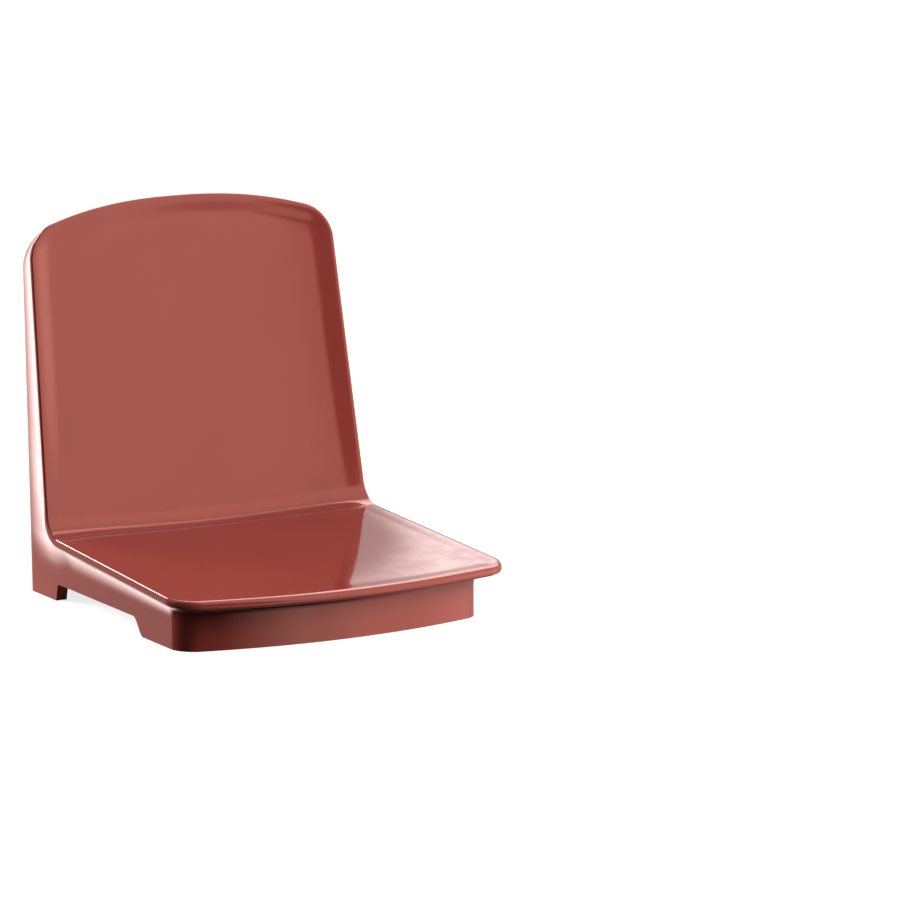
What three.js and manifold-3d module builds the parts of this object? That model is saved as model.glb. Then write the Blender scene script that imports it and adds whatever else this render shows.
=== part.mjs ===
// A stadium seat: one glossy moulded shell, pan and back in one piece, on a moulded body that stands
// on four feet. Screws join the two from below and from behind, and four threaded inserts under
// the pan take the bolts of a rail or bracket.
// Lengths are in millimetres. X runs along the row of seats, the sitter faces -Y, +Z is up.
// "forward" is the distance ahead of the lower rear edge, so y = -forward until the last lines.

import * as THREE from 'three';
import { mergeVertices } from 'three/addons/utils/BufferGeometryUtils.js';
import Module from 'manifold-3d';

const wasm = await Module();
wasm.setup();

// Outline of the shell, along its rim
const foldWidth = 429;
const frontWidth = foldWidth + 7;
const crownWidth = foldWidth - 29;
const crownHeight = 466.4;
const crownRise = 33.3;
const crownPower = 2.34;
const crownCornerRadius = 30;
const frontForward = 442;
const frontBow = 23.5;
const frontCornerRadius = 28;
const foldForward = 115.3;
const foldHeight = 87.7;
const panFall = 22.8;
const backRecline = THREE.MathUtils.degToRad(10);
const foldEdgeRadius = 30;
const foldCentreRadius = 16;

// Section of the shell
const skinThickness = 4;
const rimDepth = 9.3;
const backRimDepth = 5.5;
const rimFade = 40;
const lipThickness = 4.5;
const rimRounding = 4;
const panDish = 6;
const frontDish = 2.5;
const backDish = 2.5;
const backSweep = 8.5;
const dishBorder = 12;

// Body, as it stands on the floor
const rearWidth = foldWidth - 66.6;
const rearLean = 0.031;
const rearTopHeight = 449.7;
const rearCornerRadius = 33;
const rearRounding = 8;
const apronWidth = foldWidth - 33.6;
const apronForward = 408;
const apronBow = 30.5;
const apronCornerRadius = 22;
const bodyWall = 4;
const rimInset = 1;
const sideFlareAtFold = 52;
const sideFlareAtFront = 20;
const apronFlareAtMiddle = 3.5;
const apronFlareAtCorner = 9;

// Feet and the raised edge between them
const raisedEdge = 20.3;
const rearFootLength = 74;
const footDraft = 4;
const rearFootWidth = 46;
const footThickness = 11;
const footHeight = 34;
const footCornerRadius = 4;
const stepForward = 286;
const stepLength = 25;
const frontFootLength = 70;

// Joint between shell and body: a flange under the lip and a tongue inside it
const fitGap = 0.3;
const flangeWidth = 22;
const flangeThickness = 3.7;
const tongueThickness = 2.5;
const tongueHeight = 3.5;

// Cross ribs, three under the pan and two behind the back
const ribThickness = 3;
const ribClearance = 26;
const rearRibForward = 145;
const middleRibForward = 255;
const frontRibForward = 380;
const lowerRibHeight = 190;
const upperRibHeight = 370;

// Screws, the posts they bite into, the pads they clamp, and the cover plugs behind the back
const screwX = foldWidth / 2 - 119.5;
const postDiameter = 12;
const panPostLength = 16;
const backPostLength = 28;
const pilotDiameter = 4.6;
const pilotDepth = 13;
const padDiameter = 20;
const padThickness = 4;
const postGuide = 5;
const padHoleDiameter = 5.6;
const screwShankDiameter = 4;
const screwHeadDiameter = 10;
const screwHeadHeight = 3.4;
const screwFlangeHeight = 1;
const screwLength = 14;
const socketWidth = 4;
const socketDepth = 2;
const cupDiameter = 14;
const plugHeadThickness = 2.4;
const plugSkirtLength = 7;
const plugSkirtWall = 1.6;
const plugRecess = 0.8;
const plugRounding = 0.8;

// Threaded inserts and their bosses
const insertX = foldWidth / 2 - 69.5;
const bossDiameter = 24;
const bossHeight = 26;
const insertDiameter = 12;
const insertFlangeDiameter = 18;
const insertFlangeThickness = 1.6;
const insertLength = 16;
const threadBore = 6.8;
const threadChamfer = 0.8;

// How far a cut or an embedded end runs past the surface it meets, and how finely things are round
const overrun = 2;
const seamOverlap = 8;
const roundSides = 20;
const postSides = 16;
const socketSides = 6;
const stepSegments = 6;
const surfaceTolerance = 0.005;

const halfFront = frontWidth / 2;
const halfFold = foldWidth / 2;
const halfCrown = crownWidth / 2;
const halfRear = rearWidth / 2;
const halfApron = apronWidth / 2;
const panAngle = Math.atan(panFall / (frontForward - foldForward));
const panLength = (frontForward - foldForward) / Math.cos(panAngle);
const crownClimb = (crownHeight - foldHeight) / Math.cos(backRecline);

// Shares of the half width at which the surfaces have their columns, from the side inwards
const sideShares = [0, 0.004, 0.011, 0.02, 0.035, 0.062, 0.105, 0.155, 0.21, 0.42, 0.7];
const bodySideShares = [0, 0.008, 0.026, 0.056, 0.105, 0.21, 0.42, 0.7];
// Shares of the pan's and the back's length, from the free edge to the fold, for the rows
const edgeRowShares = [0, 0.0028, 0.0075, 0.0128, 0.03, 0.13, 0.3, 0.5, 0.7, 0.87];
const bodyRowShares = [0, 0.13, 0.4, 0.7];
const foldRowShares = [0, 0.25, 0.5, 0.75];
const wallLayerShares = [0, 0.35, 0.6, 0.76, 0.87, 0.95, 1];
const wedgeLayerShares = [0, 0.15, 0.36, 0.64, 0.82, 0.91, 0.97, 1];
// Share of the body's rows that lie under the pan, and how its sides sweep in towards the rear
const panShare = 0.72;
const rearRowShares = [0, 0.3, 0.65, 0.86, 0.93, 0.98];
const sideSweepPower = 1.6;
const seamNarrowingShare = 0.93;

function lerp(from, to, share) {
  return from + (to - from) * share;
}

function mirrored(shares) {
  const left = shares.map((share) => share - 1);
  const right = shares.map((share) => 1 - share).reverse();
  return [...left, 0, ...right];
}

// Rows of a surface: 0 to 1 along the pan, 1 to 2 round the fold, 2 to 3 up the back
function surfaceRows(shares) {
  const pan = shares;
  const fold = foldRowShares.map((share) => 1 + share);
  const back = shares.map((share) => 3 - share).reverse();
  return [...pan, ...fold, 2, ...back];
}

// How far a round corner cuts back a straight end, at a place across its width
function cornerCut(across, halfWidth, radius) {
  const over = Math.max(0, Math.abs(across) - (halfWidth - radius));
  return radius - Math.sqrt(Math.max(0, radius * radius - over * over));
}

// Length from the fold point to the front edge or to the crown, at a share of the half width
function panReach(share, inset) {
  const across = share * (halfFront - inset);
  const bow = frontBow * (1 - (across / halfFront) ** 2);
  const cut = cornerCut(across, halfFront - inset, frontCornerRadius - inset);
  return (frontForward + bow - foldForward - inset - cut) / Math.cos(panAngle);
}

function backReach(share, inset) {
  const across = share * (halfCrown - inset);
  const drop = crownRise * Math.abs(across / halfCrown) ** crownPower / Math.cos(backRecline);
  const cut = cornerCut(across, halfCrown - inset, crownCornerRadius - inset);
  return crownClimb - drop - inset - cut;
}

function foldRadiusAt(share) {
  return lerp(foldCentreRadius, foldEdgeRadius, share * share);
}

// A point of the side profile for one row: place, direction of the sitter's side, and how far
// up the back it is
function profileAt(row, share, inset) {
  const radius = foldRadiusAt(share);
  const turn = Math.PI / 2 - panAngle - backRecline;
  const tangent = radius * Math.tan(turn / 2);
  if (row <= 1) {
    const along = lerp(panReach(share, inset), tangent, row);
    return {
      forward: foldForward + along * Math.cos(panAngle),
      height: foldHeight - along * Math.sin(panAngle),
      tilt: panAngle,
      along,
      climb: 0,
    };
  }
  if (row >= 2) {
    const climb = lerp(tangent, backReach(share, inset), row - 2);
    return {
      forward: foldForward - climb * Math.sin(backRecline),
      height: foldHeight + climb * Math.cos(backRecline),
      tilt: Math.PI / 2 - backRecline,
      along: 0,
      climb,
    };
  }
  const tilt = lerp(panAngle, Math.PI / 2 - backRecline, row - 1);
  const centreForward = foldForward + tangent * Math.cos(panAngle) + radius * Math.sin(panAngle);
  const centreHeight = foldHeight - tangent * Math.sin(panAngle) + radius * Math.cos(panAngle);
  return {
    forward: centreForward - radius * Math.sin(tilt),
    height: centreHeight - radius * Math.cos(tilt),
    tilt,
    along: 0,
    climb: 0,
  };
}

// Half width of the pan at a length along it, and of the back at a climb up it
function halfPanAt(along) {
  return lerp(halfFold, halfFront, Math.min(1, along / panLength));
}

function halfBackAt(climb) {
  return lerp(halfFold, halfCrown, climb / crownClimb);
}

function halfWidthAt(point) {
  return point.climb > 0 ? halfBackAt(point.climb) : halfPanAt(point.along);
}

function rimDepthAt(climb) {
  return lerp(rimDepth, backRimDepth, THREE.MathUtils.smoothstep(climb, 0, rimFade));
}

function dishAt(across, halfWidth, depth) {
  const share = Math.min(1, Math.abs(across) / (halfWidth - dishBorder));
  return depth * (1 - share * share) ** 2;
}

// The back curves across, crown and all, so its middle lies behind its edges
function sweepAt(across, halfWidth) {
  return backSweep * (1 - (across / halfWidth) ** 2);
}

function panDishAt(along) {
  return lerp(panDish, frontDish, Math.min(1, along / panLength));
}

// Distance of a place on the shell from its outline
function edgeDistance(share, point) {
  const halfWidth = halfWidthAt(point);
  const across = Math.abs(share) * halfWidth;
  const onBack = point.climb > 0;
  const radius = onBack ? crownCornerRadius : frontCornerRadius;
  const reach = onBack ? backReach(share, 0) : panReach(share, 0);
  const position = onBack ? point.climb : point.along;
  const over = across - (halfWidth - radius);
  const straight = reach + cornerCut(across, halfWidth, radius);
  const beyond = position - (straight - radius);
  if (over > 0 && beyond > 0 && position > 0) {
    return radius - Math.hypot(over, beyond);
  }
  const end = position > 0 ? reach - position : Infinity;
  return Math.min(halfWidth - across, end);
}

function roundingDrop(distance, radius) {
  const inside = radius - THREE.MathUtils.clamp(distance, 0, radius);
  return radius - Math.sqrt(radius * radius - inside * inside);
}

// A point on the shell, or above or below it: lift is measured along the surface's normal
function surfacePoint(share, row, inset, lift) {
  const point = profileAt(row, share, inset);
  const halfWidth = halfWidthAt(point);
  const across = share * (halfWidth - inset);
  const turned = THREE.MathUtils.clamp(row - 1, 0, 1);
  const depth = lerp(panDishAt(point.along), backDish, turned);
  const sunk = dishAt(across, halfWidth, depth) + turned * sweepAt(across, halfWidth);
  const raise = lift(share, point) - sunk;
  const forward = point.forward + raise * Math.sin(point.tilt);
  const height = point.height + raise * Math.cos(point.tilt);
  return new THREE.Vector3(across, -forward, height);
}

function roundedTop(share, point) {
  return -roundingDrop(edgeDistance(share, point), rimRounding);
}

function underLip(extra) {
  return (share, point) => -(rimDepthAt(point.climb) + extra);
}

function below(depth) {
  return () => -depth;
}

// Solids: a three.js geometry becomes a closed solid, and a solid becomes a geometry again
function solidOf(geometry) {
  const bare = geometry.clone();
  bare.deleteAttribute('normal');
  bare.deleteAttribute('uv');
  const merged = mergeVertices(bare);
  const mesh = new wasm.Mesh({
    numProp: 3,
    vertProperties: new Float32Array(merged.attributes.position.array),
    triVerts: new Uint32Array(merged.index.array),
  });
  return new wasm.Manifold(mesh);
}

function geometryOf(solid) {
  const mesh = solid.getMesh();
  const geometry = new THREE.BufferGeometry();
  geometry.setAttribute('position', new THREE.BufferAttribute(mesh.vertProperties, 3));
  geometry.setIndex(new THREE.BufferAttribute(mesh.triVerts, 1));
  geometry.computeVertexNormals();
  return geometry;
}

function union(solids) {
  return solids.reduce((total, solid) => total.add(solid));
}

// A box whose grid of points is moved to wherever place() says
function mappedBlock(columns, rows, layers, place) {
  const across = columns.length - 1;
  const along = rows.length - 1;
  const through = layers.length - 1;
  const geometry = new THREE.BoxGeometry(1, 1, 1, across, along, through);
  const position = geometry.attributes.position;
  for (let i = 0; i < position.count; i += 1) {
    const column = Math.round((position.getX(i) + 0.5) * across);
    const row = Math.round((position.getY(i) + 0.5) * along);
    const layer = Math.round((position.getZ(i) + 0.5) * through);
    const point = place(columns[column], rows[row], layers[layer]);
    position.setXYZ(i, point.x, point.y, point.z);
  }
  return solidOf(geometry);
}

function shellLayer(inset, upper, lower, sides, rowShares) {
  return mappedBlock(mirrored(sides), surfaceRows(rowShares), [lower, upper], (share, row, lift) =>
    surfacePoint(share, row, inset, lift));
}

function box(fromX, toX, fromForward, toForward, fromHeight, toHeight) {
  const geometry = new THREE.BoxGeometry(toX - fromX, toForward - fromForward, toHeight - fromHeight);
  const middleForward = (fromForward + toForward) / 2;
  geometry.translate((fromX + toX) / 2, -middleForward, (fromHeight + toHeight) / 2);
  return solidOf(geometry);
}

function uprightCylinder(diameter, x, forward, fromHeight, toHeight, sides = postSides) {
  const geometry = new THREE.CylinderGeometry(diameter / 2, diameter / 2, toHeight - fromHeight, sides);
  geometry.rotateX(Math.PI / 2);
  geometry.translate(x, -forward, (fromHeight + toHeight) / 2);
  return solidOf(geometry);
}

function levelCylinder(diameter, x, height, fromForward, toForward, sides = postSides) {
  const geometry = new THREE.CylinderGeometry(diameter / 2, diameter / 2, toForward - fromForward, sides);
  geometry.translate(x, -(fromForward + toForward) / 2, height);
  return solidOf(geometry);
}

// Height of the pan and forward place of the back, at any x
function panHeight(x, forward) {
  const along = (forward - foldForward) / Math.cos(panAngle);
  return foldHeight - along * Math.sin(panAngle) - dishAt(x, halfPanAt(along), panDishAt(along));
}

function backForward(x, height) {
  const climb = (height - foldHeight) / Math.cos(backRecline);
  const halfWidth = halfBackAt(climb);
  const sunk = dishAt(x, halfWidth, backDish) + sweepAt(x, halfWidth);
  return foldForward - climb * Math.sin(backRecline) - sunk;
}

function rearForward(height) {
  return -rearLean * height;
}

// Places of the screws: four under the pan and four behind the back
const panScrews = [];
const backScrews = [];
for (const side of [-1, 1]) {
  for (const forward of [rearRibForward, frontRibForward]) {
    const postEnd = panHeight(screwX, forward) - skinThickness - panPostLength;
    panScrews.push({ x: side * screwX, forward, postEnd });
  }
  for (const height of [lowerRibHeight, upperRibHeight]) {
    const postEnd = backForward(screwX, height) - skinThickness - backPostLength;
    backScrews.push({ x: side * screwX, height, postEnd });
  }
}

// The shell: a slab as deep as its rim, hollowed from below inside the lip, with screw posts
function makeShell() {
  const slab = shellLayer(0, roundedTop, underLip(0), sideShares, edgeRowShares);
  const ceiling = below(skinThickness);
  const floor = below(rimDepth + overrun);
  const pocket = shellLayer(lipThickness, ceiling, floor, bodySideShares, bodyRowShares);
  const posts = [];
  const pilots = [];
  for (const { x, forward, postEnd } of panScrews) {
    const skin = panHeight(x, forward) - skinThickness / 2;
    posts.push(uprightCylinder(postDiameter, x, forward, postEnd, skin));
    pilots.push(uprightCylinder(pilotDiameter, x, forward, postEnd - overrun, postEnd + pilotDepth));
  }
  for (const { x, height, postEnd } of backScrews) {
    const skin = backForward(x, height) - skinThickness / 2;
    posts.push(levelCylinder(postDiameter, x, height, postEnd, skin));
    pilots.push(levelCylinder(pilotDiameter, x, height, postEnd - overrun, postEnd + pilotDepth));
  }
  return slab.subtract(pocket).add(union(posts)).subtract(union(pilots)).simplify(surfaceTolerance);
}

// Lower part of the body's form, from the floor to the lip; wall shrinks it on all sides and depth
// lowers its top
function baseForm(wall, depth) {
  const floor = wall > 0 ? -overrun : 0;
  const inset = rimInset + wall;
  const lipLift = underLip(fitGap + depth);
  const place = (share, row, layer) => {
    const halfFloorWidth = halfApron - wall;
    const floorAcross = share * halfFloorWidth;
    const bow = apronBow * (1 - (floorAcross / halfApron) ** 2);
    const cut = cornerCut(floorAcross, halfFloorWidth, apronCornerRadius - wall);
    const floorForward = lerp(apronForward + bow - wall - cut, wall, row);
    const widthShare = THREE.MathUtils.clamp(floorForward / apronForward, 0, 1);
    const halfFloor = lerp(halfRear, halfApron, widthShare) - wall;

    const top = surfacePoint(share, Math.min(1, row / panShare), inset, lipLift);
    let flareHeight = lerp(sideFlareAtFront, sideFlareAtFold, Math.min(1, row / panShare));
    if (row > panShare) {
      const back = (row - panShare) / (1 - panShare);
      const rearX = share * (halfRear - wall);
      const rearY = -(rearForward(top.z) + wall);
      top.x = lerp(rearX, top.x, (1 - back) ** sideSweepPower);
      top.y = lerp(top.y, rearY, back);
      flareHeight = sideFlareAtFold;
    }
    const height = lerp(floor, top.z, layer);
    const underTop = top.z + depth - height;
    const sideShare = Math.max(0, 1 - underTop / flareHeight) ** 2;
    const apronFlare = lerp(apronFlareAtMiddle, apronFlareAtCorner, share * share);
    const frontShare = Math.max(0, 1 - underTop / apronFlare);
    const leanShare = lerp(frontShare, layer, row);
    const x = lerp(share * halfFloor, top.x, sideShare);
    const y = lerp(-floorForward, top.y, leanShare);
    const fromRear = -(rearForward(height) + wall) - y;
    return new THREE.Vector3(x - share * roundingDrop(fromRear, rearRounding - wall), y, height);
  };
  const panRows = bodyRowShares.map((share) => share * panShare);
  const rearRows = rearRowShares.map((share) => lerp(panShare, 1, share));
  const rows = [...panRows, ...rearRows, 1];
  return mappedBlock(mirrored(bodySideShares), rows, wallLayerShares, place);
}

// Upper part of the body's form: the wedge between the rear wall and the reclined back. Its lowest
// row is sunk into the lower part.
function wedgeForm(wall, depth) {
  const inset = rimInset + wall;
  const lipLift = underLip(fitGap + depth);
  const place = (share, layer, row) => {
    const front = surfacePoint(share, Math.max(1, row), inset, lipLift);
    const start = surfacePoint(share, 1, inset, lipLift).z;
    const rearX = share * (halfRear - wall);
    const arch = crownRise * (rearX / halfRear) ** 2;
    const cut = cornerCut(rearX, halfRear - wall, rearCornerRadius - wall);
    const rearTop = rearTopHeight - arch - wall - cut;
    const sunk = row < 1;
    const down = sunk ? seamOverlap : 0;
    const rearHeight = lerp(start, rearTop, Math.max(0, row - 1) / 2) - down;
    const rearY = -(rearForward(rearHeight) + wall);
    const inward = lerp(depth / (rearY - front.y + depth), 1, layer);
    const x = lerp(rearX, front.x, (1 - inward) ** sideSweepPower) * (sunk ? seamNarrowingShare : 1);
    const y = lerp(front.y, rearY, layer);
    return new THREE.Vector3(
      x - share * roundingDrop(rearY - y, rearRounding - wall),
      y,
      lerp(front.z - down, rearHeight, layer),
    );
  };
  const fold = foldRowShares.map((share) => 1 + share);
  const back = bodyRowShares.map((share) => 3 - share).reverse();
  const rows = [0, ...fold, 2, ...back];
  return mappedBlock(mirrored(bodySideShares), wedgeLayerShares, rows, place);
}

function bodyForm(wall, depth) {
  return baseForm(wall, depth).add(wedgeForm(wall, depth));
}

// The tongue is a ring on the flange, along the whole outline of the shell
function makeTongue() {
  const inset = lipThickness + fitGap;
  const top = (share, point) => -Math.max(skinThickness, rimDepthAt(point.climb) - tongueHeight) - fitGap;
  const outer = shellLayer(inset, top, underLip(fitGap + overrun), bodySideShares, bodyRowShares);
  const inner = shellLayer(inset + tongueThickness, below(0), underLip(fitGap + 2 * overrun),
    bodySideShares, bodyRowShares);
  return outer.subtract(inner);
}

// The side walls' raised edge: a rounded corner at the rear foot and an S-shaped step down to the
// front foot
function raisedEdgeCut() {
  const stepEnd = stepForward + stepLength;
  const footTop = rearFootLength + footDraft;
  const shape = new THREE.Shape();
  shape.moveTo(rearFootLength, -overrun);
  shape.lineTo(footTop, raisedEdge - footCornerRadius);
  shape.quadraticCurveTo(footTop, raisedEdge, footTop + footCornerRadius, raisedEdge);
  shape.lineTo(stepForward, raisedEdge);
  shape.bezierCurveTo(stepForward + stepLength / 2, raisedEdge, stepForward + stepLength / 2, 0, stepEnd, 0);
  shape.lineTo(stepEnd, -overrun);
  const options = { depth: frontWidth, bevelEnabled: false, curveSegments: stepSegments };
  const geometry = new THREE.ExtrudeGeometry(shape, options);
  const forwardAxis = new THREE.Vector3(0, -1, 0);
  const upAxis = new THREE.Vector3(0, 0, 1);
  const acrossAxis = new THREE.Vector3().crossVectors(forwardAxis, upAxis);
  geometry.applyMatrix4(new THREE.Matrix4().makeBasis(forwardAxis, upAxis, acrossAxis));
  geometry.translate(halfFront, 0, 0);
  return solidOf(geometry);
}

// Feet: the walls are thickened where they stand on the floor
function makeFeet(core) {
  const feet = [];
  const rearFootEnd = rearFootLength + footDraft + footCornerRadius;
  const frontStart = stepForward;
  const frontEnd = stepForward + stepLength + frontFootLength;
  for (const side of [-1, 1]) {
    const strip = (near, far, fromForward, toForward) => {
      const low = Math.min(side * near, side * far);
      const high = Math.max(side * near, side * far);
      return box(low, high, fromForward, toForward, 0, footHeight);
    };
    feet.push(strip(halfRear - footThickness, halfFront, 0, rearFootEnd));
    feet.push(strip(halfRear - rearFootWidth, halfFront, 0, footThickness));
    feet.push(strip(halfApron - footThickness, halfFront, frontStart, frontEnd));
  }
  return union(feet).intersect(core);
}

// Cross ribs: slices of everything between the walls, the rib edge and the shell's skin
function makeRibs(core) {
  const pocketInset = lipThickness + fitGap + tongueThickness;
  const underSkin = below(skinThickness + fitGap);
  const underFlange = underLip(fitGap + flangeThickness);
  const fill = shellLayer(pocketInset, underSkin, underFlange, bodySideShares, bodyRowShares);
  const space = core.add(fill);
  const half = ribThickness / 2;
  const slices = [rearRibForward, middleRibForward, frontRibForward].map((forward) =>
    box(-halfFront, halfFront, forward - half, forward + half, ribClearance, foldHeight));
  for (const height of [lowerRibHeight, upperRibHeight]) {
    slices.push(box(-halfFront, halfFront, rearForward(height), foldForward, height - half, height + half));
  }
  return union(slices).intersect(space);
}

// Screw cups: a guide round the shell's post, a pad for the screw head and a bore for the driver
function makeScrewCups() {
  const cups = [];
  const bores = [];
  const guideBore = postDiameter + 2 * fitGap;
  for (const { x, forward, postEnd } of panScrews) {
    const padTop = postEnd - fitGap;
    const padBottom = padTop - padThickness;
    cups.push(uprightCylinder(padDiameter, x, forward, ribClearance, postEnd + postGuide));
    bores.push(uprightCylinder(guideBore, x, forward, padTop, foldHeight));
    bores.push(uprightCylinder(padHoleDiameter, x, forward, ribClearance, foldHeight));
    bores.push(uprightCylinder(cupDiameter, x, forward, ribClearance - overrun, padBottom));
  }
  for (const { x, height, postEnd } of backScrews) {
    const padFront = postEnd - fitGap;
    const padRear = padFront - padThickness;
    const wallForward = rearForward(height);
    cups.push(levelCylinder(padDiameter, x, height, wallForward + overrun, postEnd + postGuide));
    bores.push(levelCylinder(guideBore, x, height, padFront, foldForward));
    bores.push(levelCylinder(padHoleDiameter, x, height, wallForward, foldForward));
    bores.push(levelCylinder(cupDiameter, x, height, wallForward - overrun, padRear));
  }
  return { cups: union(cups), bores: union(bores) };
}

const insertPlaces = [];
for (const side of [-1, 1]) {
  for (const forward of [rearRibForward, middleRibForward]) {
    insertPlaces.push({ x: side * insertX, forward });
  }
}

function makeInsertBosses() {
  const bosses = [];
  const bores = [];
  const bore = insertDiameter + 2 * fitGap;
  const counterbore = insertFlangeDiameter + 2 * fitGap;
  for (const { x, forward } of insertPlaces) {
    const start = raisedEdge - overrun;
    const boreEnd = raisedEdge + insertLength + fitGap;
    const counterboreEnd = raisedEdge + insertFlangeThickness + fitGap;
    bosses.push(uprightCylinder(bossDiameter, x, forward, raisedEdge, raisedEdge + bossHeight, roundSides));
    bores.push(uprightCylinder(bore, x, forward, start, boreEnd, roundSides));
    bores.push(uprightCylinder(counterbore, x, forward, start, counterboreEnd, roundSides));
  }
  return { bosses: union(bosses), bores: union(bores) };
}

// The body: walls, flange and tongue under the shell's lip, feet, ribs, screw cups and bosses
function makeBody() {
  const form = bodyForm(0, 0);
  const hollow = bodyForm(bodyWall, flangeThickness);
  const mouth = shellLayer(rimInset + flangeWidth, below(0), underLip(fitGap + flangeThickness + overrun),
    bodySideShares, bodyRowShares);
  const core = bodyForm(bodyWall / 2, flangeThickness / 2);
  const { cups, bores } = makeScrewCups();
  const { bosses, bores: insertBores } = makeInsertBosses();
  const rearGapHalf = halfRear - rearFootWidth;
  const rearGap = box(-rearGapHalf, rearGapHalf, -overrun, footThickness + overrun, -overrun, raisedEdge);
  return form
    .subtract(union([hollow, mouth]))
    .add(union([makeTongue(), makeFeet(core), makeRibs(core), cups, bosses]))
    .subtract(union([bores, insertBores, raisedEdgeCut(), rearGap]))
    .simplify(surfaceTolerance);
}

// Small pieces are turned about +Z with their outer end at zero, then placed
function turned(outline, sides, closed) {
  const points = outline.map(([radius, height]) => new THREE.Vector2(radius, height));
  if (closed) points.push(points[0].clone());
  const geometry = new THREE.LatheGeometry(points, sides);
  geometry.rotateX(Math.PI / 2);
  return geometry;
}

function makeScrew() {
  const head = screwHeadDiameter / 2;
  const shank = screwShankDiameter / 2;
  const dome = head - screwFlangeHeight;
  const shoulder = screwHeadHeight - screwFlangeHeight;
  const end = screwHeadHeight + screwLength;
  const outline = [
    [0, 0],
    [dome - screwFlangeHeight, 0],
    [dome, screwFlangeHeight],
    [dome, shoulder],
    [head, shoulder],
    [head, screwHeadHeight],
    [shank, screwHeadHeight],
    [shank, end - shank],
    [0, end],
  ];
  const socketRadius = socketWidth / 2;
  const socket = new THREE.CylinderGeometry(socketRadius, socketRadius, socketDepth + overrun, socketSides);
  socket.rotateX(Math.PI / 2);
  socket.translate(0, 0, (socketDepth - overrun) / 2);
  return geometryOf(solidOf(turned(outline, postSides)).subtract(solidOf(socket)));
}

function makePlug() {
  const radius = cupDiameter / 2 - fitGap;
  const inner = radius - plugSkirtWall;
  const outline = [
    [0, 0],
    [radius - plugRounding, 0],
    [radius, plugRounding],
    [radius, plugHeadThickness + plugSkirtLength],
    [inner, plugHeadThickness + plugSkirtLength],
    [inner, plugHeadThickness],
    [0, plugHeadThickness],
  ];
  return turned(outline, roundSides);
}

function makeInsert() {
  const bore = threadBore / 2;
  const outer = insertDiameter / 2;
  const flange = insertFlangeDiameter / 2;
  const outline = [
    [bore + threadChamfer, 0],
    [flange, 0],
    [flange, insertFlangeThickness],
    [outer, insertFlangeThickness],
    [outer, insertLength],
    [bore, insertLength],
    [bore, threadChamfer],
  ];
  return turned(outline, roundSides, true);
}

// Materials
const redPlastic = new THREE.MeshStandardMaterial({ color: 0x9c3a33, roughness: 0.12, metalness: 0 });
const zincSteel = new THREE.MeshStandardMaterial({ color: 0xb9bcc0, roughness: 0.35, metalness: 1 });
const brass = new THREE.MeshStandardMaterial({ color: 0xb89a56, roughness: 0.4, metalness: 1 });

const seat = new THREE.Group();

function addPiece(name, geometry, material) {
  const piece = new THREE.Mesh(geometry, material);
  piece.name = name;
  seat.add(piece);
  return piece;
}

addPiece('seat_shell', geometryOf(makeShell()), redPlastic);
addPiece('body_shell', geometryOf(makeBody()), redPlastic);

const screwGeometry = makeScrew();
panScrews.forEach(({ x, forward, postEnd }, index) => {
  const screw = addPiece(`pan_screw_${index + 1}`, screwGeometry, zincSteel);
  screw.position.set(x, -forward, postEnd - padThickness - 2 * fitGap - screwHeadHeight);
});

const plugGeometry = makePlug();
backScrews.forEach(({ x, height, postEnd }, index) => {
  const screw = addPiece(`back_screw_${index + 1}`, screwGeometry, zincSteel);
  screw.rotation.x = Math.PI / 2;
  screw.position.set(x, -(postEnd - padThickness - 2 * fitGap - screwHeadHeight), height);
  const plug = addPiece(`cover_plug_${index + 1}`, plugGeometry, redPlastic);
  plug.rotation.x = Math.PI / 2;
  plug.position.set(x, -(rearForward(height) + plugRecess), height);
});

const insertGeometry = makeInsert();
insertPlaces.forEach(({ x, forward }, index) => {
  const insert = addPiece(`threaded_insert_${index + 1}`, insertGeometry, brass);
  insert.position.set(x, -forward, raisedEdge);
});

// The origin is on the floor, in the middle of the seat's footprint
const footprint = new THREE.Box3().setFromObject(seat);
seat.position.y = -(footprint.min.y + footprint.max.y) / 2;

export default seat;
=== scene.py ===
import math

import bmesh
import bpy
from mathutils import Matrix, Vector


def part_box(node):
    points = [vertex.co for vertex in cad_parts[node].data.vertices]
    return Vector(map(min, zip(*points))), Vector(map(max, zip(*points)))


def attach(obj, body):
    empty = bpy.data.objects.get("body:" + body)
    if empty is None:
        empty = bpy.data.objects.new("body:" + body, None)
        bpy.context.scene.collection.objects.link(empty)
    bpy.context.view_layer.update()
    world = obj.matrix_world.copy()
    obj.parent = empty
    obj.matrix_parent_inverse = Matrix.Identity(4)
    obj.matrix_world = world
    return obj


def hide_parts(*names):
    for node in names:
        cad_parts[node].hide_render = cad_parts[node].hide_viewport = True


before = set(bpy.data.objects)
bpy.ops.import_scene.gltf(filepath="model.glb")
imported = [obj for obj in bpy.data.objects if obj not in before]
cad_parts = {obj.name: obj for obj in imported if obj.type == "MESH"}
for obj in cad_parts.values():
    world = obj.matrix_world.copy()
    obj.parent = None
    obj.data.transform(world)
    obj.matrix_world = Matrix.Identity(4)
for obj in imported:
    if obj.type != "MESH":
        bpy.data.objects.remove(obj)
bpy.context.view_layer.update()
print("frame loaded")

mm = 0.001

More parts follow.
